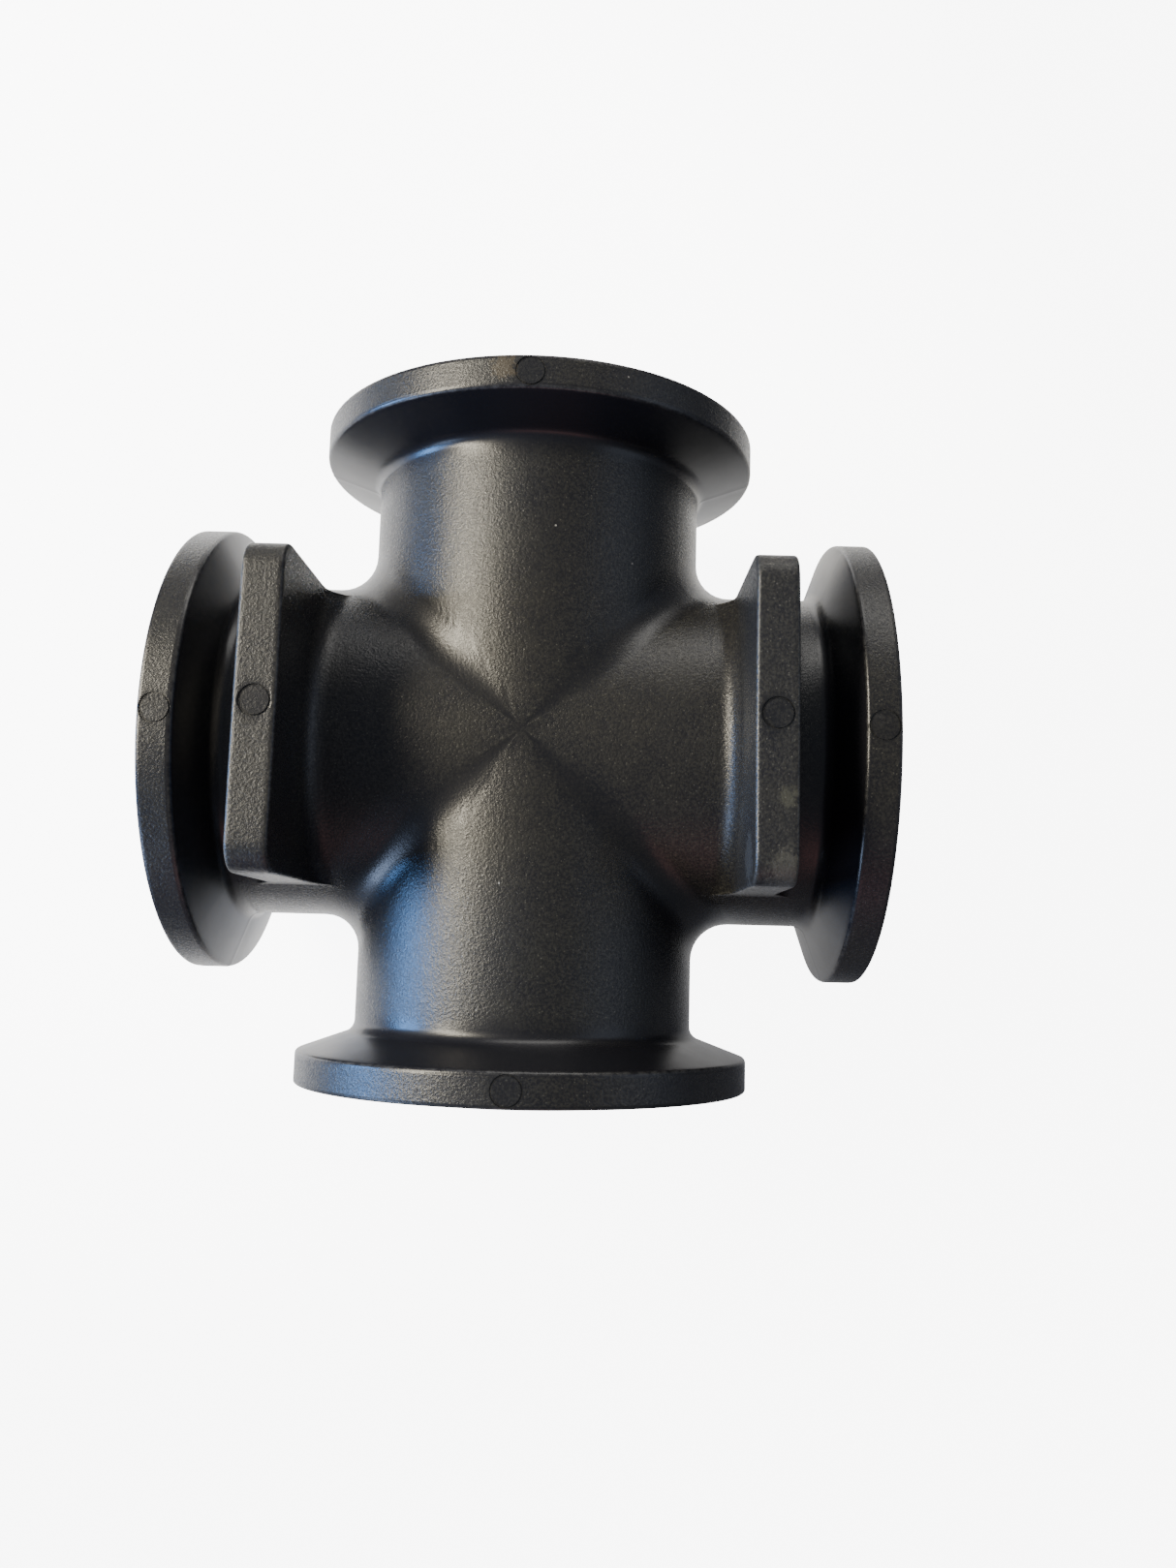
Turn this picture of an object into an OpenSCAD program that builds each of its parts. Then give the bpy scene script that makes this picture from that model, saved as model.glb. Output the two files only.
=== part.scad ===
// Cross fitting: a four-way plumbing cross with a tapered clamp flange on every port.
// Two straight bores cross at right angles inside one moulding. Each flange face has a groove
// that holds a seal ring, and two pads stand up from the legs along X as mounting feet.
// Frame: the port axes run along X and Y and cross at the origin, and the pads point along +Z.

/* [Ports] */
// Distance between the faces of opposite flanges, mm
face_to_face = 123; // [118:1:150]
// Bore of both straight passages, mm
bore_d = 50.8; // [42:0.2:61]
// Wall of the tubes between the bore and the outside, mm
tube_wall = 5.75; // [4.5:0.25:6.5]
// Radius of the ball that rounds each inside corner between two tubes, mm
corner_r = 7; // [4:0.5:9]
// Chamfer on the mouth of each bore, mm
mouth_chamfer = 0.6; // [0.2:0.1:1.2]

/* [Clamp flanges] */
// Outside diameter of the flange rims, mm
flange_d = 83; // [80:1:100]
// Width of a rim from its face to its back edge, mm
rim_w = 5.7; // [4:0.1:8]
// Slope of the clamp taper behind a rim, measured from the flange's plane, degrees
taper_angle = 20; // [12:1:28]
// Radius where a taper runs down into its tube, mm
neck_r = 2.5; // [1:0.25:3.5]
// Radius on the back edge of a rim, mm
rim_back_r = 0.8; // [0.4:0.1:1.5]
// Radius on the face edge of a rim, mm
rim_front_r = 0.4; // [0.2:0.1:1]

/* [Pads] */
// Height of the pad faces above the port axes, mm
pad_height = 49.4; // [44:0.2:56]
// Distance from a flange face back to the middle of its pad, mm
pad_setback = 21.1; // [20:0.1:24]
// Thickness of a pad along the port axis, at its face, mm
pad_t = 6.9; // [4:0.1:8]
// Length of a pad across the port axis, mm
pad_len = 53; // [40:1:58]
// Radius of the two upper corners of a pad, mm
pad_corner_r = 5; // [2:0.5:10]
// Radius where a pad runs down into its tube, mm
pad_root_r = 3.5; // [1.5:0.25:4]
// Radius where the ends of a pad run down into its tube, mm
pad_foot_r = 1.2; // [0.8:0.1:4]
// Draft of the pad walls, degrees
pad_draft = 1.25; // [0.5:0.25:2]
// Radius on the long edges of the pad faces, mm
pad_edge_r = 0.6; // [0.3:0.1:1.2]

/* [Seal rings] */
// Ring of flange face left between the bore and the seal groove, mm
groove_land = 1.8; // [1.2:0.1:3]
// Width of the seal groove, mm
groove_w = 5; // [4:0.1:6]
// Depth of the seal groove, mm
groove_depth = 2.6; // [2:0.1:3.5]
// How far a seal ring stands proud of its flange face, mm
seal_proud = 1.2; // [0.8:0.1:3.5]
// Gap between a seal ring and each wall of its groove, mm
seal_gap = 0.1; // [0.05:0.01:0.2]

/* [Ejector marks] */
// Diameter of the round witness marks that the mould's ejector pins leave, mm
mark_d = 5.2; // [4:0.1:5.6]
// Width of the ring line around each mark, mm
mark_line = 0.3; // [0.2:0.05:0.5]
// Depth of the ring line, mm
mark_depth = 0.25; // [0.15:0.05:0.4]

/* [Hidden] */

// smoothness of round surfaces and of the small arcs in the turned outlines
$fn = 96;
arc_steps = 8;
// spans along a corner fillet, steps across it, and the angle from the middle at which it has died away
corner_spans = 36;
corner_steps = 6;
corner_reach = 83;
// how deep joined shapes bite into each other, and how far a cut runs past a surface
sink = 0.03;
over = 1;

half_f = face_to_face / 2;
bore_r = bore_d / 2;
tube_r = bore_r + tube_wall;
rim_r = flange_d / 2;
rim_back = half_f - rim_w;
groove_in_r = bore_r + groove_land;
groove_out_r = groove_in_r + groove_w;
seal_w = groove_w - 2 * seal_gap;
seal_mid_r = groove_in_r + groove_w / 2;
pad_x = half_f - pad_setback;
rim_mark_x = half_f - rim_w / 2;

// points along an arc, from angle a0 to angle a1
function arc(c, r, a0, a1) =
    [for (i = [0:arc_steps]) let (a = a0 + (a1 - a0) * i / arc_steps) c + r * [cos(a), sin(a)]];

// the other half of an outline, mirrored in its second or its first coordinate, in reverse order
function mirrored(pts) = [for (i = [len(pts) - 1:-1:0]) [pts[i][0], -pts[i][1]]];
function across(pts) = [for (i = [len(pts) - 1:-1:0]) [-pts[i][0], pts[i][1]]];

// turn a shape made along Z so that it runs along the port axis at this angle in the XY plane
module along_port(angle) {
    rotate([0, 0, angle]) rotate([0, 90, 0]) children();
}

// ---- Body ----

// [radius, distance along the axis] of half a straight run: tube, neck, clamp taper, rim, face
neck_c = [tube_r + neck_r,
    rim_back - (rim_r - tube_r - neck_r) * tan(taper_angle) - neck_r / cos(taper_angle)];
back_c = [rim_r - rim_back_r,
    rim_back + rim_back_r * (1 / cos(taper_angle) - tan(taper_angle))];
front_c = [rim_r - rim_front_r, half_f - rim_front_r];
run_side = concat(
    arc(neck_c, neck_r, 180, 90 + taper_angle),
    arc(back_c, rim_back_r, taper_angle - 90, 0),
    arc(front_c, rim_front_r, 0, 90),
    [[0, half_f]]);

module straight_run() {
    rotate_extrude() polygon(concat(run_side, mirrored(run_side)));
}

// The passage through a straight run, with its two chamfered mouths
module passage() {
    cylinder(r = bore_r, h = face_to_face + 2 * over, center = true);
    for (side = [0, 180]) rotate([side, 0, 0]) translate([0, 0, half_f - mouth_chamfer])
        cylinder(r1 = bore_r, r2 = bore_r + mouth_chamfer + over, h = mouth_chamfer + over);
}

module seal_groove() {
    translate([0, 0, half_f - groove_depth]) difference() {
        cylinder(r = groove_out_r, h = groove_depth + over);
        cylinder(r = groove_in_r, h = groove_depth + over);
    }
}

// A ball of radius corner_r rolls up the inside corner between two equal tubes and touches both.
// Its centre is at angle t above the plane of the ports. These are the points of one section.
ball_path_r = tube_r + corner_r - sink;
function ball_c(t) = ball_path_r * [cos(t), cos(t), sin(t)];
function to_x_tube(t) = [0, -cos(t), -sin(t)];
function to_y_tube(t) = [-cos(t), 0, -sin(t)];
function between(a, b, u) =
    let (w = acos(a * b)) (sin((1 - u) * w) * a + sin(u * w) * b) / sin(w);
function corner_section(t) = concat(
    [for (j = [0:corner_steps])
        ball_c(t) + corner_r * between(to_x_tube(t), to_y_tube(t), j / corner_steps)],
    [(tube_r - tube_wall / 2) * [cos(t), cos(t), sin(t)]]);

module corner_fillet() {
    n = corner_steps + 2;
    sections = [for (i = [0:corner_spans])
        corner_section(corner_reach * (2 * i / corner_spans - 1))];
    sides = [for (i = [0:corner_spans - 1], j = [0:n - 1])
        let (k = (j + 1) % n, a = i * n, b = a + n)
        each [[a + j, b + j, b + k], [a + j, b + k, a + k]]];
    caps = [[for (j = [0:n - 1]) j], [for (j = [n - 1:-1:0]) corner_spans * n + j]];
    polyhedron([for (s = sections) each s], concat(sides, caps));
}

// [radius, distance along the port] of half a pad: drafted wall with a root fillet on the tube
function pad_wall(r) = pad_t / 2 + (pad_height - r) * tan(pad_draft);
root_c = [tube_r - sink + pad_root_r,
    pad_wall(tube_r + pad_root_r) + pad_root_r / cos(pad_draft)];
pad_top_r = norm([pad_height, pad_len / 2]) + over;
pad_side = concat(
    [[tube_r - tube_wall / 2, root_c[1]]],
    arc(root_c, pad_root_r, 180, 270 - pad_draft),
    [[pad_top_r, pad_wall(pad_top_r)]]);

// The pad seen along its port: straight sides, rounded upper corners, and feet that curve out
// to meet the round of the tube
module pad_front() {
    foot_y = pad_len / 2 + pad_foot_r;
    foot_z = sqrt(pow(tube_r - sink + pad_foot_r, 2) - foot_y * foot_y);
    side = concat(arc([pad_len / 2, pad_height] - pad_corner_r * [1, 1], pad_corner_r, 90, 0),
        arc([foot_y, foot_z], pad_foot_r, 180, 180 + atan2(foot_z, foot_y)),
        [[pad_len / 2, 0]]);
    polygon(concat(side, across(side)));
}

// The pad seen from its side, which rounds the long edges of the face
module pad_cheek() {
    wide = root_c[1] + over;
    edge_c = [pad_t / 2 - pad_edge_r, pad_height - pad_edge_r];
    side = concat(arc(edge_c, pad_edge_r, 90, 0), [[wide, tube_r + pad_root_r], [wide, 0]]);
    polygon(concat(side, across(side)));
}

module pad() {
    intersection() {
        rotate([0, 90, 0]) rotate_extrude() polygon(concat(mirrored(pad_side), pad_side));
        rotate([90, 0, 90]) linear_extrude(2 * (root_c[1] + over), center = true) pad_front();
        rotate([90, 0, 0]) linear_extrude(pad_len + 2 * over, center = true) pad_cheek();
    }
}

// The ring line an ejector pin leaves, cut down from the top of a surface at height z
module ejector_mark(z) {
    translate([0, 0, z - mark_depth]) difference() {
        cylinder(d = mark_d, h = over);
        cylinder(d = mark_d - 2 * mark_line, h = over);
    }
}

module body() {
    color([0.09, 0.09, 0.095]) difference() {
        union() {
            for (angle = [0, 90]) along_port(angle) straight_run();
            for (angle = [0:90:270]) rotate([0, 0, angle]) corner_fillet();
            for (side = [-1, 1]) translate([side * pad_x, 0, 0]) pad();
        }
        for (angle = [0, 90]) along_port(angle) passage();
        for (angle = [0:90:270]) along_port(angle) seal_groove();
        for (angle = [0:90:270]) rotate([0, 0, angle]) translate([rim_mark_x, 0, 0])
            ejector_mark(rim_r);
        for (side = [-1, 1]) translate([side * pad_x, 0, 0]) ejector_mark(pad_height);
    }
}

// ---- Seal rings ----

// A ring with a flat foot on the groove's floor and a round bead that stands out of the groove
module seal_ring() {
    bead_z = groove_depth + seal_proud - seal_w / 2;
    translate([0, 0, half_f - groove_depth]) rotate_extrude() polygon(concat(
        arc([seal_mid_r, bead_z], seal_w / 2, 0, 180),
        [[seal_mid_r - seal_w / 2, 0], [seal_mid_r + seal_w / 2, 0]]));
}

module seal_at(angle) {
    color([0.16, 0.16, 0.17]) along_port(angle) seal_ring();
}

module seal_pos_x() { seal_at(0); }
module seal_pos_y() { seal_at(90); }
module seal_neg_x() { seal_at(180); }
module seal_neg_y() { seal_at(270); }

body();
seal_pos_x();
seal_neg_x();
seal_pos_y();
seal_neg_y();
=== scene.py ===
# %% [markdown]
# A four-way cross fitting, moulded in black glass-filled plastic.
# The imported CAD model is the frame: every piece here goes where the CAD says, in metres.
# Some of the sizes below are read from the boxes of the CAD nodes.

# %% Load the frame
import math
import bmesh
import bpy
import numpy as np
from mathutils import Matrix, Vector


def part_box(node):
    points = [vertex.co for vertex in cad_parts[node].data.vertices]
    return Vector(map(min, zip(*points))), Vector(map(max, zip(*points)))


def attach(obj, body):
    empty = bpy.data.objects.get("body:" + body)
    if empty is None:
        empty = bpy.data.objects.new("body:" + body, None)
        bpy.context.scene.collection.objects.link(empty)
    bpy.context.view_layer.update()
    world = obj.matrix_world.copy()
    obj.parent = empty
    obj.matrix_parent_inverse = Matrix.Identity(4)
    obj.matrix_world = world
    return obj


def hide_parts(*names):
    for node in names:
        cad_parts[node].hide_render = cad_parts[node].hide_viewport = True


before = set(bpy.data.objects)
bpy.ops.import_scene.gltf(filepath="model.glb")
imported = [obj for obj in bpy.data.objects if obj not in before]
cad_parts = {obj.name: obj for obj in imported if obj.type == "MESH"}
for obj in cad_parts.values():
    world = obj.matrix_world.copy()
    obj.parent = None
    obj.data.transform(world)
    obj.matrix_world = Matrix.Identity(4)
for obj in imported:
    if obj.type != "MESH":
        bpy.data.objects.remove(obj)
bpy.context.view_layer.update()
print("cad nodes:", sorted(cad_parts))


# %% [markdown]
# The sizes come from two places. The moulding's reach, its rim and the height of its pads
# are read from the CAD node. The rest are the maker's own numbers, in millimetres, since no
# box shows them. Everything is worked out in millimetres and turned into metres at the end.

# %% Sizes
MM = 0.001
low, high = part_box("body")
half_face = high.x / MM               # centre to a flange face
pad_top = high.z / MM                 # height of the two pads
rim_r = -low.z / MM                   # the fitting lies on its rims
tube_r, bore_r = 31.15, 25.4          # outside and inside of the tubes
corner_r, crease_r = 7.0, 17.0        # ball in an inside corner, at the side and near the top
rim_w, taper, neck_r = 5.7, math.radians(20), 2.5
rim_back_r, rim_front_r = 0.8, 0.4    # rounds on the two edges of a rim
pad_x = half_face - 21.1              # middle of a pad
pad_half, pad_draft = 3.45, math.radians(1.25)
pad_half_len, pad_corner, pad_foot = 26.5, 5.0, 1.2
pad_root, pad_edge = 3.5, 0.6
land, groove_w, groove_d, mouth = 1.8, 5.0, 2.6, 0.6
seam_h = 0.05                         # height of the ridge on the parting line
print(f"faces {2 * half_face:.1f} mm apart, rims {2 * rim_r:.1f} mm, pads at {pad_top:.1f} mm")


# %% [markdown]
# The camera looks down on the fitting from a little in front and to the right of it. A camera
# that isn't turned looks straight down, so three small turns are enough: it is tipped back by
# eight degrees, and it leans and twists by one or two, as a camera held in the hand does.

# %% Camera
cam_data = bpy.data.cameras.new("camera")
cam = bpy.data.objects.new("camera", cam_data)
bpy.context.scene.collection.objects.link(cam)
cam_data.lens, cam_data.sensor_width = 28.235, 36.0
cam_data.shift_x, cam_data.shift_y = 0.0003, 0.0013
cam_data.clip_start, cam_data.clip_end = 0.01, 20
cam.location = (0.01293, -0.03763, 0.23497)
cam.rotation_euler = [math.radians(turn) for turn in (7.8403, 0.2763, 1.5095)]
bpy.context.scene.camera = cam
print("camera", [round(v, 3) for v in cam.location])


# %% [markdown]
# The body is one moulding: four tubes that run into each other, with a ball-rolled fillet in
# each inside corner. Joining four cylinders with a boolean would leave torn triangles in those
# fillets, and a remesh would soften the sharp rims. Here the skin is laid as a grid instead,
# one grid for each leg. A column runs along the leg at one angle round its axis, and its rows
# sit where the shape turns, so that every round has its own rows and shades cleanly.
#
# The angles are the same on all four legs, so the grids meet point for point in the corners.
# They follow the front outline of a pad first: its flat top, its round corner, its side and
# the foot that curves out to the tube. Then they go on round the tube. Three close columns at
# the side carry the fine ridge that the mould's parting line leaves.

# %% Angles of the columns, and the pad outline at each
def pad_outline():
    """[y, z, outward y, outward z] from the middle of the pad's top round to its foot."""
    flat = pad_half_len - pad_corner
    rows = [[flat * i / 10, pad_top, 0, 1] for i in range(10)]
    for i in range(9):
        a = math.radians(90 - 90 * i / 8)
        rows.append([flat + pad_corner * math.cos(a),
                     pad_top - pad_corner + pad_corner * math.sin(a), math.cos(a), math.sin(a)])
    foot_y = pad_half_len + pad_foot
    foot_z = math.sqrt((tube_r + pad_foot) ** 2 - foot_y ** 2)
    for i in range(1, 13):
        drop = (foot_z - pad_top + pad_corner) * i / 12
        rows.append([pad_half_len, pad_top - pad_corner + drop, 1, 0])
    end = math.atan2(foot_z, foot_y)
    for i in range(1, 7):
        a = math.pi + end * i / 6
        rows.append([foot_y + pad_foot * math.cos(a), foot_z + pad_foot * math.sin(a),
                     -math.cos(a), -math.sin(a)])
    return np.array(rows)


outline = pad_outline()
pad_angles = np.arctan2(outline[:, 0], outline[:, 1])
pad_end = pad_angles[-1]
ridge = math.radians(0.35)
angles = np.concatenate([
    pad_angles,
    np.linspace(pad_end, math.pi / 2 - ridge, 12)[1:],
    [math.pi / 2, math.pi / 2 + ridge],
    np.linspace(math.pi / 2 + ridge, math.pi, 34)[1:]])
print(len(angles), "columns on each half of a leg")
print("a pad ends", round(math.degrees(pad_end), 1), "degrees from the top")


# %% [markdown]
# Seen in section, a pad's wall rises from the tube in a root fillet and then leans in by its
# draft. The rows climb that line, turn over the rounded edge and cross the pad's end, and then
# the same rows go down the other side. Near the foot there is less and less wall to climb, so
# the rows close up there until they meet on the tube.

# %% Section of a pad
root_rc = tube_r + pad_root                        # radius to the middle of the root fillet
crown_shares = (0.86, 0.33)                        # rows on the flat top, as shares of its half
root_grain, wall_grain, edge_grain, top_grain = 0.8, 0.7, 0.9, 1.0


def lean(radius):
    """Half the thickness of a pad at this radius; its draft makes it thinner towards the top."""
    return pad_half + (pad_top - radius) * math.tan(pad_draft)


root_dc = lean(root_rc) + pad_root / math.cos(pad_draft)
root_len = pad_root * (math.pi / 2 - pad_draft)


def wall_point(s):
    """(distance from the pad's middle, radius) at this length up the wall from the tube."""
    a = math.pi + min(s, root_len) / pad_root
    d, r = root_dc + pad_root * math.sin(a), root_rc + pad_root * math.cos(a)
    rest = max(s - root_len, 0)
    return d - rest * math.sin(pad_draft), r + rest * math.cos(pad_draft)


def wall_length(radius):
    """Length up the wall at which it reaches this radius."""
    if radius <= root_rc - pad_root * math.sin(pad_draft):
        return pad_root * (math.pi - math.acos(np.clip((radius - root_rc) / pad_root, -1, 1)))
    return root_len + (radius - root_rc + pad_root * math.sin(pad_draft)) / math.cos(pad_draft)


def pad_column(k):
    """Rows [offset from the pad's middle, y, z, grain, edge] from its inner root to its crown."""
    y, z, ny, nz = outline[k]
    angle, reach = pad_angles[k], math.hypot(y, z)
    edge = min(pad_edge, 0.35 * (reach - tube_r))
    ey, ez = y - edge * ny, z - edge * nz
    top = wall_length(max(math.hypot(ey, ez), tube_r))
    turn = min(root_len, 0.75 * top)
    steps = [turn * i / 8 for i in range(9)]
    steps += [turn + (top - turn) * f for f in (0.35, 0.7, 0.95)]
    rows = []
    for i, s in enumerate(steps):
        d, r = wall_point(s)
        a = angle + (math.atan2(ey, ez) - angle) * s / max(top, 1e-9)
        rows.append([d, r * math.sin(a), r * math.cos(a), root_grain if i < 9 else wall_grain, 0])
    wide = wall_point(top)[0]
    for i in range(5):
        t = math.pi / 2 * i / 4
        inset = edge * (1 - math.sin(t))
        rows.append([wide - edge * (1 - math.cos(t)), y - inset * ny, z - inset * nz,
                     edge_grain, math.sin(2 * t)])
    for f in crown_shares:
        rows.append([(wide - edge) * f, y, z, top_grain, 0])
    return rows


print("a pad column has", 2 * len(pad_column(0)), "rows")


# %% [markdown]
# From the tube to the mouth of the bore, every leg is a turned shape. Its section is one list
# of points: the neck, the clamp taper, the soft back edge of the rim, the rim, its crisp front
# edge, the face with the seal's groove, the chamfered mouth and the bore. Each point also says
# how grainy the skin is there, from 0 for polished steel to 1 for the roughest mould, and how
# much of an edge it is, because handling rubs the edges first.

# %% Section of a flange
smooth_grain, face_grain, rim_grain = 0.1, 0.25, 0.8


def turned_section():
    """[distance from the centre, radius, grain, edge] from the neck to the mouth of the bore."""
    back = half_face - rim_w
    neck = (back - (rim_r - tube_r - neck_r) * math.tan(taper) - neck_r / math.cos(taper),
            tube_r + neck_r)
    bend = (back + rim_back_r * (1 / math.cos(taper) - math.tan(taper)), rim_r - rim_back_r)
    rows = []
    for i in range(1, 9):
        a = math.pi - (math.pi / 2 - taper) * i / 8
        rows.append([neck[0] + neck_r * math.sin(a), neck[1] + neck_r * math.cos(a),
                     0.2 * (1 - i / 8), 0])
    start = rows[-1]
    arc = []
    for i in range(7):
        a = taper - math.pi / 2 + (math.pi / 2 - taper) * i / 6
        arc.append([bend[0] + rim_back_r * math.sin(a), bend[1] + rim_back_r * math.cos(a),
                    0.35 * i / 6, math.sin(math.pi * i / 6)])
    end = arc[0]
    for f in (0.08, 0.35, 0.65, 0.92):
        rows.append([start[0] + (end[0] - start[0]) * f, start[1] + (end[1] - start[1]) * f,
                     0.0, 0])
    rows += arc
    front = half_face - rim_front_r
    for f in (0.06, 0.35, 0.65, 0.94):
        rows.append([arc[-1][0] + (front - arc[-1][0]) * f, rim_r, rim_grain, 0])
    for i in range(5):
        a = math.pi / 2 * i / 4
        rows.append([front + rim_front_r * math.sin(a),
                     rim_r - rim_front_r + rim_front_r * math.cos(a), 0.3, math.sin(2 * a)])
    inner, outer = bore_r + land, bore_r + land + groove_w
    floor = half_face - groove_d
    for r in (rim_r - 0.7, 38.0, 35.0, outer + 0.35):
        rows.append([half_face, r, face_grain, 0])
    soft = 0.12                                    # small rounds at the lips of the groove
    rows += [[half_face, outer + soft, 0.2, 0.6], [half_face - soft, outer, smooth_grain, 0.6],
             [floor + 0.1, outer, smooth_grain, 0], [floor, outer - 0.1, smooth_grain, 0],
             [floor, (inner + outer) / 2, smooth_grain, 0],
             [floor, inner + 0.1, smooth_grain, 0], [floor + 0.1, inner, smooth_grain, 0],
             [half_face - soft, inner, smooth_grain, 0.6], [half_face, inner - soft, 0.2, 0.6]]
    fine = 0.05                                    # and at the two edges of the mouth's chamfer
    rows += [[half_face, bore_r + mouth + fine, 0.2, 0.7],
             [half_face - fine, bore_r + mouth, smooth_grain, 0.5],
             [half_face - mouth + fine, bore_r + fine, smooth_grain, 0.5],
             [half_face - mouth - fine, bore_r, smooth_grain, 0.2]]
    return neck[0], rows


neck_x, section = turned_section()
print("a flange section has", len(section), "rows, from", round(neck_x, 2), "mm out")


# %% [markdown]
# Now the columns of a leg can be worked out. A leg starts where the corner ball touches its
# tube, which is further out the further the column is from the top. The ball grows on its way
# up, so the creases between the tubes soften before they reach the middle. On a leg with a pad
# the rows bunch up at the pad and spread out again below it. The bores end where they cross.

# %% Columns of a leg
def place(leg, along, side, up):
    """A point of a leg in the fitting's own axes; leg 0 is +X, 1 is +Y, 2 is -X, 3 is -Y."""
    c, s = ((1, 0), (0, 1), (-1, 0), (0, -1))[leg]
    return (c * along - s * side, s * along + c * side, up)


def ease(share):
    """Turns an even change from 0 to 1 into one that starts and stops softly."""
    share = min(max(share, 0), 1)
    return share * share * (3 - 2 * share)


def ball(t):
    """Radius of the corner ball at this angle from the top, or as far up from underneath."""
    growth = ease((math.radians(44) - min(t, math.pi - t)) / math.radians(34))
    return corner_r + (crease_r - corner_r) * growth


def seam(t):
    """Height of the parting line's ridge: only the column at the very side carries it."""
    return seam_h if abs(t - math.pi / 2) < 1e-6 else 0.0


def tube_shares(k):
    """Where the rows below a pad sit between corner and neck, as shares of that length."""
    start = (tube_r + corner_r) * math.sin(pad_end)
    inner, outer, gap = pad_x - root_dc, pad_x + root_dc, neck_x - start
    climb = len(pad_column(0)) - 3
    rows = [start + (inner - start) * i / 8 for i in range(9)]
    rows += [inner] * climb
    rows += [inner + (outer - inner) * (1 - f) / 2
             for f in (*crown_shares, *(-f for f in reversed(crown_shares)))]
    rows += [outer] * climb
    rows += [outer + (neck_x - outer) * i / 2 for i in range(3)]
    at_pad = (np.array(rows) - start) / gap
    spread = ease((angles[k] - pad_end) / math.radians(16))
    return at_pad + (np.linspace(0, 1, len(rows)) - at_pad) * spread


def leg_column(k, sign, padded):
    """Rows [along, side, up, grain, edge] of one column: corner, tube, flange and bore."""
    t = angles[k]
    bump = seam(t)
    s, c = math.sin(t), math.cos(t)
    start = (tube_r + ball(t)) * s
    tube_grain = 0.85 - 0.35 * min(t / 2.2, 1)     # weaker towards the underside
    rows = []
    if padded and k < len(pad_angles):
        inner, outer = pad_x - root_dc, pad_x + root_dc
        rise = pad_column(k)
        for i in range(9):
            a = start + (inner - start) * i / 8
            rows.append([a, tube_r * s, tube_r * c, tube_grain, 0])
        rows = rows[:-1] + [[pad_x - d, y, z, g, e] for d, y, z, g, e in rise]
        rows += [[pad_x + d, y, z, g, e] for d, y, z, g, e in rise[::-1]]
        for i in (1, 2):
            rows.append([outer + (neck_x - outer) * i / 2, tube_r * s, tube_r * c, 0.6, 0])
    else:
        for f in tube_shares(k) if padded else np.arange(15) / 14:
            a = start + (neck_x - start) * f
            fade = min(abs(a - start) / 3, 1) * min(abs(neck_x - a) / 2, 1)
            rows.append([a, (tube_r + bump) * s, (tube_r + bump) * c,
                         0.3 + (tube_grain - 0.3) * fade, 0])
    for a, r, g, e in section:
        outside = r > tube_r - 0.01 and a < half_face - 0.01 and g != smooth_grain
        r = r + bump if outside else r
        rows.append([a, r * s, r * c, g, e])
    mouth_x, cross = rows[-1][0], bore_r * s
    for i in range(1, 13):
        along = mouth_x + (cross - mouth_x) * i / 12
        rows.append([along, bore_r * s, bore_r * c, smooth_grain, 0])
    return [[a, sign * y, z, g, e] for a, y, z, g, e in rows]


print("a leg's column has", len(leg_column(0, 1, True)), "rows with a pad and",
      len(leg_column(0, 1, False)), "without")


# %% [markdown]
# The grids of the four legs and the strips between them all go into one list of points and
# one of faces. A strip takes eight steps across a corner, along the ball, from one leg to the
# next. Doubled points along the seams are then merged, and the faces are turned to point
# outwards. The grain and edge values ride along as attributes, for the finish to read.

# %% Lay the skin of the body
points, faces = [], []


def grid(columns):
    """Adds a grid of points, given column by column, with a face between each four."""
    first, rows = len(points), len(columns[0])
    for column in columns:
        points.extend(column)
    for i in range(len(columns) - 1):
        for j in range(rows - 1):
            a = first + i * rows + j
            faces.append((a, a + 1, a + rows + 1, a + rows))


n_cols = len(angles)
for leg in range(4):
    order = [(k, -1) for k in range(n_cols - 1, 0, -1)] + [(k, 1) for k in range(n_cols)]
    grid([[(*place(leg, a, y, z), g, e) for a, y, z, g, e in leg_column(k, sign, leg % 2 == 0)]
          for k, sign in order])
    strip = []
    for k in range(n_cols):
        s, c = math.sin(angles[k]), math.cos(angles[k])
        bump, radius = seam(angles[k]), ball(angles[k])
        centre = np.array([s, s, c]) * (tube_r + radius)
        a, b = np.array([0, -s, -c]), np.array([-s, 0, -c])
        w = math.acos(np.clip(a @ b, -1, 1))
        column = []
        for j in range(9):
            u = j / 8
            d = a if w < 1e-6 else (math.sin((1 - u) * w) * a + math.sin(u * w) * b) / math.sin(w)
            x, y, z = centre + (radius - bump) * d
            column.append((*place(leg, x, y, z), 0.3 + 0.5 * (2 * u - 1) ** 2 * (1 - s), 0))
        strip.append(column)
    grid(strip)

data = np.array(points)
mesh = bpy.data.meshes.new("cross_body")
mesh.from_pydata((data[:, :3] * MM).tolist(), [], faces)
for name, column in (("grain", 3), ("edge", 4)):
    values = mesh.attributes.new(name, "FLOAT", "POINT").data
    values.foreach_set("value", data[:, column].astype(np.float32))
bm = bmesh.new()
bm.from_mesh(mesh)
bmesh.ops.remove_doubles(bm, verts=bm.verts, dist=2e-6)
bmesh.ops.dissolve_degenerate(bm, dist=1e-6, edges=bm.edges)
bmesh.ops.recalc_face_normals(bm, faces=bm.faces)
open_edges = sum(1 for e in bm.edges if len(e.link_faces) != 2)
volume = bm.calc_volume() * 1e9
bm.to_mesh(mesh)
bm.free()
print(len(mesh.polygons), "faces,", open_edges, "open edges,", round(volume), "cubic mm")
body = bpy.data.objects.new("cross_body", mesh)
bpy.context.scene.collection.objects.link(body)


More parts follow.
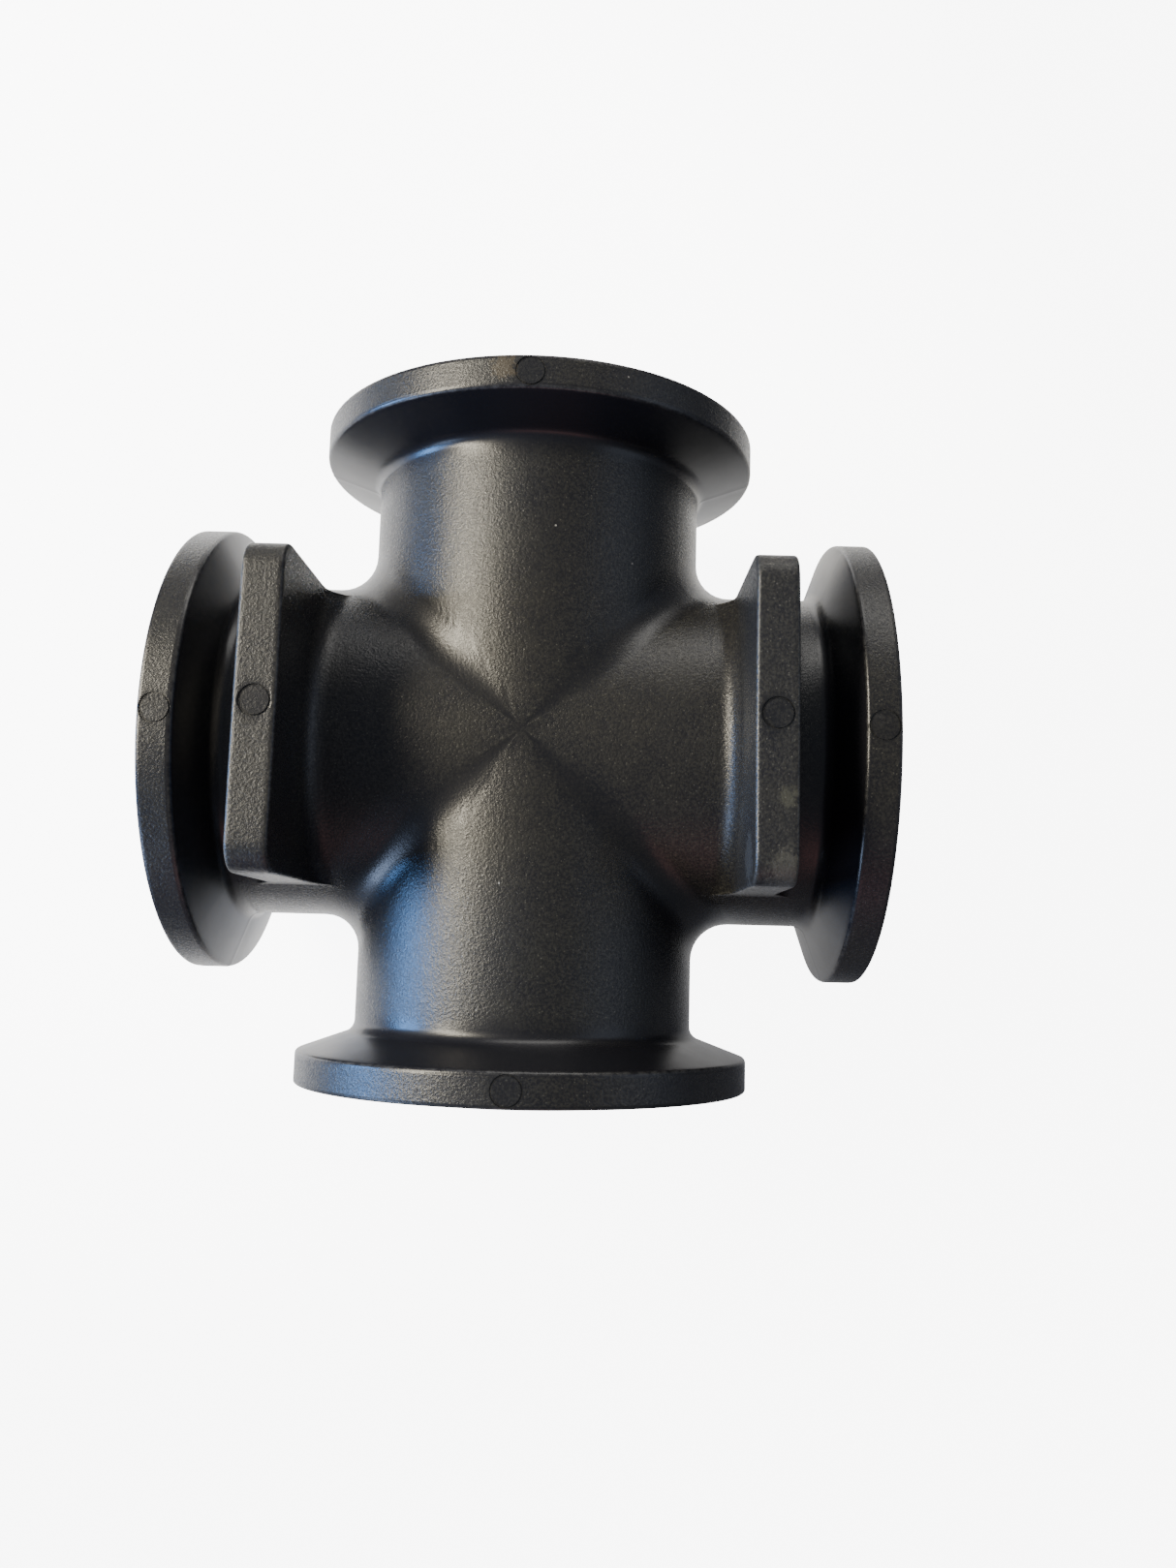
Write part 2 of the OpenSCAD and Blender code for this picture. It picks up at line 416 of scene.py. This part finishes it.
# %% [markdown]
# The rest is made with node trees, for shapes and for finishes alike. Building a tree by hand
# in code takes three lines for every node, so a few helpers do it in one: one adds a socket to
# a tree, one adds a node and fills its inputs, one adds a sum, and one runs a tree on a mesh
# and keeps the plain result.

# %% Helpers for node trees
def socket(tree, name, kind, side="INPUT", value=None):
    made = tree.interface.new_socket(name=name, in_out=side, socket_type=kind)
    if value is not None:
        made.default_value = value
    return made.identifier


def add(tree, kind, inputs=(), **settings):
    """Adds a node, sets its properties, and fills its inputs, by name or number."""
    node = tree.nodes.new(kind)
    for key, value in settings.items():
        setattr(node, key, value)
    for key, value in dict(inputs).items():
        if isinstance(value, bpy.types.NodeSocket):
            tree.links.new(value, node.inputs[key])
        else:
            node.inputs[key].default_value = value
    return node


def calc(tree, kind, a, b=0.0, clamp=False):
    sums = add(tree, "ShaderNodeMath", {0: a, 1: b}, operation=kind, use_clamp=clamp)
    return sums.outputs[0]


def grow(name, tree, values, start=None):
    """A plain mesh of what a node tree makes from this start mesh, with these modifier inputs."""
    holder = bpy.data.objects.new(name + "_seed", start or bpy.data.meshes.new(name + "_seed"))
    bpy.context.scene.collection.objects.link(holder)
    modifier = holder.modifiers.new("nodes", "NODES")
    modifier.node_group = tree
    for identifier, value in values.items():
        modifier[identifier] = value
    graph = bpy.context.evaluated_depsgraph_get()
    made = bpy.data.meshes.new_from_object(holder.evaluated_get(graph))
    holder.modifiers.remove(modifier)
    bpy.data.objects.remove(holder)
    made.name = name
    return made


print("node helpers ready")


# %% [markdown]
# Pins push the moulding out of its mould, and each leaves a shallow round mark: a thin line
# where metal met metal, round a disc that sits a hair below the skin. There is one on each rim
# and one on each pad. They repeat, so a node tree puts one cutter on each of six points.

# %% Cutters for the ejector marks
def mark_tree():
    tree = bpy.data.node_groups.new("ejector_marks", "GeometryNodeTree")
    ids = {"points": socket(tree, "Points", "NodeSocketGeometry")}
    for key, name, value in (("size", "Mark Diameter", 0.0052), ("line", "Line Width", 0.00028),
                             ("deep", "Line Depth", 0.00022), ("disc", "Disc Depth", 0.00006),
                             ("clear", "Height Above Skin", 0.0008)):
        ids[key] = socket(tree, name, "NodeSocketFloat", value=value)
    ids["finish"] = socket(tree, "Finish", "NodeSocketMaterial")
    socket(tree, "Geometry", "NodeSocketGeometry", "OUTPUT")
    given = add(tree, "NodeGroupInput").outputs
    outer = calc(tree, "MULTIPLY", given["Mark Diameter"], 0.5)
    inner = calc(tree, "SUBTRACT", outer, given["Line Width"])

    def disc(radius, depth):
        """A drum that reaches from this depth below the skin to the height above it."""
        tall = calc(tree, "ADD", depth, given["Height Above Skin"])
        drum = add(tree, "GeometryNodeMeshCylinder",
                   {"Vertices": 64, "Radius": radius, "Depth": tall})
        lift = calc(tree, "SUBTRACT", calc(tree, "MULTIPLY", tall, 0.5), depth)
        at = add(tree, "ShaderNodeCombineXYZ", {"Z": lift}).outputs[0]
        return add(tree, "GeometryNodeTransform",
                   {"Geometry": drum.outputs["Mesh"], "Translation": at}).outputs[0]

    past = calc(tree, "ADD", given["Line Depth"], 0.001)
    ring = add(tree, "GeometryNodeMeshBoolean",
               {"Mesh 1": disc(outer, given["Line Depth"]), "Mesh 2": disc(inner, past)},
               operation="DIFFERENCE", solver="EXACT").outputs[0]
    plug = disc(calc(tree, "SUBTRACT", inner, 0.00004), given["Disc Depth"])
    both = add(tree, "GeometryNodeJoinGeometry")
    tree.links.new(ring, both.inputs[0])
    tree.links.new(plug, both.inputs[0])
    spots = add(tree, "GeometryNodeMeshToPoints", {"Mesh": given["Points"]}).outputs[0]
    copies = add(tree, "GeometryNodeInstanceOnPoints",
                 {"Points": spots, "Instance": both.outputs[0]}).outputs[0]
    real = add(tree, "GeometryNodeRealizeInstances", {"Geometry": copies}).outputs[0]
    skinned = add(tree, "GeometryNodeSetMaterial",
                  {"Geometry": real, "Material": given["Finish"]}).outputs[0]
    add(tree, "NodeGroupOutput", {0: skinned})
    return tree, ids


plastic = bpy.data.materials.new("black_glass_filled_plastic")
mesh.materials.append(plastic)
marks, mark_ids = mark_tree()
print("mark tree made, with", len(mark_ids), "inputs")


# %% [markdown]
# A boolean takes the cutters out of the skin. The exact solver is the one to choose, because
# the line is only a quarter of a millimetre wide. The boolean leaves its new points with no
# grain, so the skin in and near each mark is given an even one, a little smoother than the rest.

# %% Cut the marks
mark_reach, mark_grain = 0.0027, 0.55
rim_x = half_face - rim_w / 2
spots = [(rim_x, 0, rim_r), (-rim_x, 0, rim_r), (0, rim_x, rim_r), (0, -rim_x, rim_r),
         (pad_x, 0, pad_top), (-pad_x, 0, pad_top)]
spot_mesh = bpy.data.meshes.new("mark_points")
spot_mesh.from_pydata([[v * MM for v in p] for p in spots], [], [])
drums = grow("mark_cutters", marks, {mark_ids["finish"]: plastic}, spot_mesh)
cutters = bpy.data.objects.new("mark_cutters", drums)
bpy.context.scene.collection.objects.link(cutters)
cut = body.modifiers.new("marks", "BOOLEAN")
cut.operation, cut.solver, cut.object = "DIFFERENCE", "EXACT", cutters
graph = bpy.context.evaluated_depsgraph_get()
mesh = bpy.data.meshes.new_from_object(body.evaluated_get(graph))
body.modifiers.remove(cut)
body.data = mesh
bpy.data.objects.remove(cutters)
skin = mesh.attributes["grain"].data
for spot in spots:
    centre = Vector(spot) * MM
    for vertex in mesh.vertices:
        if (vertex.co - centre).length < mark_reach:
            skin[vertex.index].value = mark_grain
print(len(spots), "ejector marks cut;", len(mesh.polygons), "faces")


# %% [markdown]
# All faces are shaded smooth, and an edge stays crisp only where it turns by more than 32
# degrees, as at the lips of the marks. Then the body is handed to the frame: it rides on the
# fitting's one body and stands for the CAD's node.

# %% Shade the body and hand it over
mesh.polygons.foreach_set("use_smooth", np.ones(len(mesh.polygons), bool))
mesh.set_sharp_from_angle(angle=math.radians(32))
body.name = mesh.name = "cross_body"
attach(body, "root")
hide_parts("body")
print("cross_body stands for the CAD's body")


# %% [markdown]
# A rubber ring sits in the groove of each flange face and stands a little proud of it. It is
# one section carried round a circle, so a node tree sweeps it: a flat foot with small corners
# and a round bead on top. The tree turns the ring to its port, and is run once for each port.

# %% Seal rings
def seal_tree():
    tree = bpy.data.node_groups.new("seal_ring", "GeometryNodeTree")
    ids = {}
    for key, name, kind, value in (("mid", "Middle Radius", "NodeSocketFloat", 0.0297),
                                   ("wide", "Width", "NodeSocketFloat", 0.0048),
                                   ("tall", "Height", "NodeSocketFloat", 0.0038),
                                   ("foot", "Foot Corner", "NodeSocketFloat", 0.0003),
                                   ("base", "Groove Floor", "NodeSocketFloat", 0.0589),
                                   ("turn", "Port Angle", "NodeSocketFloat", 0.0)):
        ids[key] = socket(tree, name, kind, value=value)
    ids["finish"] = socket(tree, "Finish", "NodeSocketMaterial")
    socket(tree, "Geometry", "NodeSocketGeometry", "OUTPUT")
    given = add(tree, "NodeGroupInput").outputs

    def moved(geometry, how, socket_name):
        return add(tree, "GeometryNodeTransform",
                   {"Geometry": geometry, socket_name: how}).outputs[0]

    box = add(tree, "GeometryNodeCurvePrimitiveQuadrilateral",
              {"Width": given["Width"], "Height": given["Height"]})
    index = add(tree, "GeometryNodeInputIndex").outputs[0]
    is_foot = calc(tree, "GREATER_THAN", index, 1.5)
    bead = calc(tree, "MULTIPLY", given["Width"], 0.48)
    less = calc(tree, "MULTIPLY", is_foot, calc(tree, "SUBTRACT", bead, given["Foot Corner"]))
    rounds = calc(tree, "SUBTRACT", bead, less)
    profile = add(tree, "GeometryNodeFilletCurve",
                  {"Curve": box.outputs[0], "Radius": rounds, "Limit Radius": True, "Count": 10},
                  mode="POLY").outputs[0]
    circle = add(tree, "GeometryNodeCurvePrimitiveCircle",
                 {"Resolution": 160, "Radius": given["Middle Radius"]}).outputs[0]
    swept = add(tree, "GeometryNodeCurveToMesh",
                {"Curve": circle, "Profile Curve": profile}).outputs[0]
    rise = calc(tree, "ADD", given["Groove Floor"], calc(tree, "MULTIPLY", given["Height"], 0.5))
    up = add(tree, "ShaderNodeCombineXYZ", {"Z": rise}).outputs[0]
    turned = add(tree, "ShaderNodeCombineXYZ", {"Z": given["Port Angle"]}).outputs[0]
    lifted = moved(swept, up, "Translation")
    tipped = moved(lifted, (0, math.pi / 2, 0), "Rotation")
    ported = moved(tipped, turned, "Rotation")
    smooth = add(tree, "GeometryNodeSetShadeSmooth", {"Geometry": ported}).outputs[0]
    real = add(tree, "GeometryNodeRealizeInstances", {"Geometry": smooth}).outputs[0]
    skinned = add(tree, "GeometryNodeSetMaterial",
                  {"Geometry": real, "Material": given["Finish"]}).outputs[0]
    add(tree, "NodeGroupOutput", {0: skinned})
    return tree, ids


rubber = bpy.data.materials.new("seal_rubber")
seals, seal_ids = seal_tree()
print("seal tree made, with", len(seal_ids), "inputs")


# %% [markdown]
# How far a ring reaches comes from the box of its CAD node, less a hundredth of a millimetre,
# so that no ring is taller than its solid. The sweep closes on itself with doubled points,
# which are merged before the ring is handed over.

# %% One ring for each port
groove_floor = (half_face - groove_d) * MM
ring_slack = 0.00001
tops = {}
for node, turn in (("seal_pos_x", 0), ("seal_pos_y", 90), ("seal_neg_x", 180), ("seal_neg_y", 270)):
    lo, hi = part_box(node)
    reach = max(abs(v) for v in (*lo, *hi))
    name = node.replace("seal", "ring")
    ring = grow(name, seals, {seal_ids["turn"]: math.radians(turn), seal_ids["finish"]: rubber,
                              seal_ids["tall"]: reach - groove_floor - ring_slack,
                              seal_ids["base"]: groove_floor})
    piece = bpy.data.objects.new(name, ring)
    bpy.context.scene.collection.objects.link(piece)
    rb = bmesh.new()
    rb.from_mesh(ring)
    bmesh.ops.remove_doubles(rb, verts=rb.verts, dist=1e-6)
    bmesh.ops.recalc_face_normals(rb, faces=rb.faces)
    rb.to_mesh(ring)
    rb.free()
    ring.set_sharp_from_angle(angle=math.radians(40))
    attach(piece, "root")
    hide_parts(node)
    tops[node] = round(reach / MM, 2)
print("seal rings reach", tops)


# %% [markdown]
# The finishes draw on five effects, each a node group that gives only masks and heights: the
# grain that the mould's spark-eroded skin leaves, the pale flecks of glass in it, the rub on
# edges, loose dust, and the faint marks that dried water leaves. Grain and dust are on both
# finishes. A pattern's size is given as its features for each metre, so at 2200 a grain is a
# little under half a millimetre across, whatever piece it is on.

# %% Helpers for effects
def group(name, inputs, outputs):
    tree = bpy.data.node_groups.new(name, "ShaderNodeTree")
    socket(tree, "Vector", "NodeSocketVector")
    for key, value in inputs:
        socket(tree, key, "NodeSocketFloat", value=value)
    for key in outputs:
        socket(tree, key, "NodeSocketFloat", "OUTPUT")
    return tree, add(tree, "NodeGroupInput").outputs


def noise(tree, vector, scale, detail=2.0, rough=0.5):
    return add(tree, "ShaderNodeTexNoise", {"Vector": vector, "Scale": scale, "Detail": detail,
                                            "Roughness": rough}).outputs["Fac"]


def ramp(tree, value, low_at, high_at, low_to=0.0, high_to=1.0):
    return add(tree, "ShaderNodeMapRange", {"Value": value, "From Min": low_at, "From Max": high_at,
                                            "To Min": low_to, "To Max": high_to}).outputs[0]


def distance(tree, a, b):
    return add(tree, "ShaderNodeVectorMath", {0: a, 1: b}, operation="DISTANCE").outputs["Value"]


print("effect helpers ready")


# %% [markdown]
# Grain is noise at two sizes, one three times the other, because a spark-eroded skin has small
# pits on slow waves. It gives a height for the bump, a slow mottle for the colour, and specks
# where the fine noise is high. A fleck is a cell of a Voronoi pattern, and only the cells whose
# random colour falls under the wanted share are kept. Dust is made the same way, and only
# settles on what faces up.

# %% Shared effects
def grain_group():
    tree, given = group("mould_grain", [("Size", 2600.0), ("Strength", 1.0)],
                        ["Height", "Mottle", "Speck"])
    fine = noise(tree, given["Vector"], given["Size"], 3.0, 0.6)
    coarse = noise(tree, given["Vector"], calc(tree, "MULTIPLY", given["Size"], 0.33), 2.0)
    slow = noise(tree, given["Vector"], calc(tree, "MULTIPLY", given["Size"], 0.06), 4.0, 0.6)
    both = calc(tree, "ADD", calc(tree, "MULTIPLY", fine, 0.85), calc(tree, "MULTIPLY", coarse, 0.22))
    height = calc(tree, "MULTIPLY", both, given["Strength"])
    add(tree, "NodeGroupOutput", {"Height": height, "Mottle": ramp(tree, slow, 0.3, 0.7),
                                  "Speck": ramp(tree, fine, 0.42, 0.64)})
    return tree


def cell_spots(tree, given, channel, far, near):
    """A soft spot in each Voronoi cell whose random colour is under the wanted share."""
    cells = add(tree, "ShaderNodeTexVoronoi", {"Vector": given["Vector"], "Scale": given["Size"]})
    chance = add(tree, "ShaderNodeSeparateColor", {0: cells.outputs["Color"]}).outputs[channel]
    spot = ramp(tree, cells.outputs["Distance"], far, near)
    return calc(tree, "MULTIPLY", spot, calc(tree, "LESS_THAN", chance, given["Share"]))


def fleck_group():
    tree, given = group("glass_flecks", [("Size", 2400.0), ("Share", 0.1)], ["Mask"])
    add(tree, "NodeGroupOutput", {"Mask": cell_spots(tree, given, 0, 0.32, 0.12)})
    return tree


def wear_group():
    tree, given = group("edge_rub", [("Edge", 0.0), ("Size", 900.0), ("Amount", 1.0)], ["Mask"])
    broken = ramp(tree, noise(tree, given["Vector"], given["Size"], 4.0, 0.7), 0.42, 0.62)
    rub = calc(tree, "MULTIPLY", broken, given["Edge"])
    add(tree, "NodeGroupOutput", {"Mask": calc(tree, "MULTIPLY", rub, given["Amount"], clamp=True)})
    return tree


def dust_group():
    tree, given = group("dust", [("Size", 420.0), ("Share", 0.02)], ["Mask"])
    normal = add(tree, "ShaderNodeNewGeometry").outputs["Normal"]
    up = add(tree, "ShaderNodeSeparateXYZ", {0: normal}).outputs[2]
    spots = cell_spots(tree, given, 1, 0.09, 0.04)
    add(tree, "NodeGroupOutput", {"Mask": calc(tree, "MULTIPLY", spots, ramp(tree, up, 0.1, 0.6))})
    return tree


def stain_group():
    tree, given = group("stain", [("Reach", 0.005), ("Size", 900.0)], ["Mask"])
    socket(tree, "Centre", "NodeSocketVector")
    away = distance(tree, given["Vector"], given["Centre"])
    near = calc(tree, "SUBTRACT", 1.0, calc(tree, "DIVIDE", away, given["Reach"]), clamp=True)
    patchy = noise(tree, given["Vector"], given["Size"], 5.0, 0.65)
    ragged = calc(tree, "MULTIPLY", patchy, near)
    add(tree, "NodeGroupOutput", {"Mask": ramp(tree, ragged, 0.24, 0.34)})
    return tree


effects = {"grain": grain_group(), "fleck": fleck_group(), "wear": wear_group(),
           "dust": dust_group(), "stain": stain_group()}
print("shared effects:", ", ".join(effects))


# %% [markdown]
# The plastic is nearly black. What makes it look like plastic is how the light breaks up on
# it: the tubes and the pad faces carry the mould's grain and show pale flecks, while the clamp
# tapers and necks are polished and go almost black. The grain of each spot comes from the
# attribute laid down with the skin, so the change follows the moulding. Three helpers place a
# shared effect in a material, lay one colour over another, and start a material.

# %% Helpers for finishes
def use(tree, name, **inputs):
    node = add(tree, "ShaderNodeGroup", node_tree=effects[name])
    for key, value in inputs.items():
        key = key.replace("_", " ")
        if isinstance(value, bpy.types.NodeSocket):
            tree.links.new(value, node.inputs[key])
        else:
            node.inputs[key].default_value = value
    return node.outputs


def blend(tree, mask, a, b):
    node = add(tree, "ShaderNodeMix", {"Factor": mask}, data_type="RGBA")
    for slot, value in ((6, a), (7, b)):
        if isinstance(value, bpy.types.NodeSocket):
            tree.links.new(value, node.inputs[slot])
        else:
            node.inputs[slot].default_value = (*value, 1)
    return node.outputs[2]


def start_material(material):
    material.use_nodes = True
    tree = material.node_tree
    where = add(tree, "ShaderNodeTexCoord").outputs["Object"]
    return tree, tree.nodes["Principled BSDF"], where


print("finish helpers ready")

# %% Black glass-filled plastic
near_black, warm_black = (0.009, 0.009, 0.012), (0.015, 0.0145, 0.0135)
speck_grey, fleck_grey = (0.038, 0.037, 0.033), (0.17, 0.165, 0.14)
rubbed_grey, dust_grey = (0.11, 0.11, 0.11), (0.5, 0.5, 0.48)
# for each stain: its middle and its reach in millimetres, its strength, and its colour
stains = (((42.5, -24.5, 48.5), 8.0, 0.35, (0.13, 0.125, 0.10)),
          ((36.8, -22.0, 42.0), 9.0, 0.25, (0.10, 0.11, 0.12)),
          ((42.0, -13.0, 49.4), 3.5, 0.25, (0.13, 0.13, 0.09)),
          ((-4.6, 59.5, 41.2), 5.0, 0.45, (0.11, 0.085, 0.05)))
tree, shader, where = start_material(plastic)
grain_here = add(tree, "ShaderNodeAttribute", attribute_name="grain").outputs["Fac"]
edge_here = add(tree, "ShaderNodeAttribute", attribute_name="edge").outputs["Fac"]
grain = use(tree, "grain", Vector=where, Size=2200.0, Strength=grain_here)
flecks = use(tree, "fleck", Vector=where, Size=2100.0, Share=0.14)["Mask"]
flecks = calc(tree, "MULTIPLY", flecks, grain_here)
rub = use(tree, "wear", Vector=where, Edge=edge_here, Size=900.0, Amount=0.7)["Mask"]
dust = use(tree, "dust", Vector=where, Size=420.0, Share=0.012)["Mask"]
speck = calc(tree, "MULTIPLY", grain["Speck"], grain_here)
base = blend(tree, calc(tree, "MULTIPLY", grain["Mottle"], grain_here), near_black, warm_black)
base = blend(tree, speck, base, speck_grey)
base = blend(tree, calc(tree, "MULTIPLY", flecks, 0.5), base, fleck_grey)
base = blend(tree, calc(tree, "MULTIPLY", rub, 0.5), base, rubbed_grey)
for middle, reach, strength, colour in stains:
    stain = use(tree, "stain", Vector=where, Centre=[v * MM for v in middle], Reach=reach * MM,
                Size=900.0)["Mask"]
    base = blend(tree, calc(tree, "MULTIPLY", stain, strength), base, colour)
base = blend(tree, calc(tree, "MULTIPLY", dust, 0.8), base, dust_grey)
tree.links.new(base, shader.inputs["Base Color"])
polished_rough, grainy_rough = 0.28, 0.40
rough = ramp(tree, calc(tree, "POWER", grain_here, 2.5), 0.0, 1.0, polished_rough, grainy_rough)
rough = calc(tree, "ADD", rough, calc(tree, "MULTIPLY", grain["Mottle"], 0.05))
rough = calc(tree, "SUBTRACT", rough, calc(tree, "MULTIPLY", speck, 0.14))
rough = calc(tree, "ADD", rough, calc(tree, "MULTIPLY", dust, 0.4), clamp=True)
tree.links.new(rough, shader.inputs["Roughness"])
bump = add(tree, "ShaderNodeBump",
           {"Strength": 1.0, "Distance": 0.00015, "Height": grain["Height"]})
tree.links.new(bump.outputs[0], shader.inputs["Normal"])
shader.inputs["IOR"].default_value = 1.5
print("plastic finish made")


# %% [markdown]
# The seals are a soft black rubber. It is duller than the plastic, its grain is half the size,
# and a grey bloom comes out of it in slow patches, which also makes it rougher there. Rubber
# holds dust, so it has more of it.

# %% Seal rubber
tree, shader, where = start_material(rubber)
grain = use(tree, "grain", Vector=where, Size=4200.0, Strength=1.0)
bloom = ramp(tree, noise(tree, where, 140.0, 4.0, 0.6), 0.45, 0.75)
dust = use(tree, "dust", Vector=where, Size=500.0, Share=0.05)["Mask"]
base = blend(tree, calc(tree, "MULTIPLY", bloom, 0.5), (0.016, 0.016, 0.017), (0.04, 0.04, 0.042))
base = blend(tree, calc(tree, "MULTIPLY", dust, 0.7), base, (0.4, 0.4, 0.39))
tree.links.new(base, shader.inputs["Base Color"])
tree.links.new(ramp(tree, bloom, 0.0, 1.0, 0.55, 0.72), shader.inputs["Roughness"])
bump = add(tree, "ShaderNodeBump",
           {"Strength": 0.6, "Distance": 0.00003, "Height": grain["Height"]})
tree.links.new(bump.outputs[0], shader.inputs["Normal"])
print("rubber finish made")


# %% [markdown]
# The fitting lies on a pale table. A gloss black part shows what it mirrors, and a white table
# all round would light up every wall. So the table has painted light, a soft glow on the left,
# and painted shade, a darker colour and weaker glow on the right, but only as a mirror and a
# light: a light path node asks whether the ray comes from the camera, and what the camera sees
# itself is an even white.

# %% Pale table
lit_middle, lit_reach, dark_reach = (-0.075, 0.08, 0), 0.13, 0.215
lit_glow, dark_glow = (0.165, 0.163, 0.159), (0.005, 0.005, 0.005)
pale = bpy.data.materials.new("pale_table")
tree, shader, where = start_material(pale)
tone = noise(tree, where, 6.0, 4.0, 0.55)
shader.inputs["Roughness"].default_value = 0.85
# painted shade and painted light: the table's colour and glow darken away from the lit middle on the
# left
shade = ramp(tree, distance(tree, where, lit_middle), lit_reach, dark_reach)
paint = blend(tree, tone, (0.80, 0.79, 0.77), (0.86, 0.85, 0.83))
tree.links.new(blend(tree, shade, paint, (0.10, 0.10, 0.11)), shader.inputs["Base Color"])
glow = blend(tree, shade, lit_glow, dark_glow)
seen = add(tree, "ShaderNodeLightPath").outputs["Is Camera Ray"]
tree.links.new(blend(tree, seen, glow, (1.0, 1.0, 1.0)), shader.inputs["Emission Color"])
shader.inputs["Emission Strength"].default_value = 8.0
half_table = 4
plane = bpy.data.meshes.new("table")
plane.from_pydata([(x * half_table, y * half_table, low.z)
                   for x, y in ((-1, -1), (1, -1), (1, 1), (-1, 1))], [], [(0, 1, 2, 3)])
plane.materials.append(pale)
table = bpy.data.objects.new("table", plane)
bpy.context.scene.collection.objects.link(table)
print("table laid at", round(low.z / MM, 1), "mm")


# %% [markdown]
# Six soft area lights make the bands on the tubes. A warm lamp stands up and to the left, and a
# cold window is low on the left: they draw the two bands along the tubes that run away from us.
# A second window lights the near left corner, a wall behind lights the top of the far rim, and
# the room in front and the far side give the dark walls a little colour. Each light faces the
# fitting. How wide it is sets how long its band is, and its height sets how broad the band is.

# %% Lights
def softbox(name, toward, distance, size, power, colour):
    """An area light that faces the fitting from this direction, with this width and height."""
    data = bpy.data.lights.new(name, "AREA")
    data.shape, data.size, data.size_y = "RECTANGLE", *size
    data.energy, data.color = power, colour
    lamp = bpy.data.objects.new(name, data)
    from_dir = np.array(toward, float) / np.linalg.norm(toward)
    lamp.location = from_dir * distance
    lamp.rotation_euler = Vector(from_dir).to_track_quat("Z", "Y").to_euler()
    bpy.context.scene.collection.objects.link(lamp)


softbox("lamp", (-0.69, 0.22, 0.66), 0.8, (0.55, 0.15), 11.5, (1.0, 0.91, 0.72))
softbox("window", (-0.98, -0.06, 0.23), 0.9, (0.40, 0.21), 9.5, (0.18, 0.44, 1.0))
softbox("second window", (-0.76, -0.60, 0.24), 0.9, (0.34, 0.24), 3.5, (0.50, 0.66, 1.0))
softbox("back wall", (0.15, 0.95, 0.33), 1.0, (0.7, 0.4), 3.0, (1.0, 0.97, 0.92))
softbox("room", (0.1, -0.9, 0.3), 0.9, (0.6, 0.3), 0.5, (1.0, 0.40, 0.36))
softbox("far side", (0.80, 0.10, 0.48), 1.0, (0.9, 0.5), 1.0, (0.68, 0.78, 1.0))
print(len(bpy.data.lights), "lights")


# %% [markdown]
# The world behind it all works like the table: a dim cool grey as a light, and near white
# where the camera looks past the table's edge.

# %% Room
world = bpy.data.worlds.new("room")
world.use_nodes = True
tree = world.node_tree
seen = add(tree, "ShaderNodeLightPath").outputs["Is Camera Ray"]
backdrop = tree.nodes["Background"].inputs["Color"]
tree.links.new(blend(tree, seen, (0.165, 0.183, 0.22), (0.80, 0.81, 0.83)), backdrop)
bpy.context.scene.world = world
print("room set")
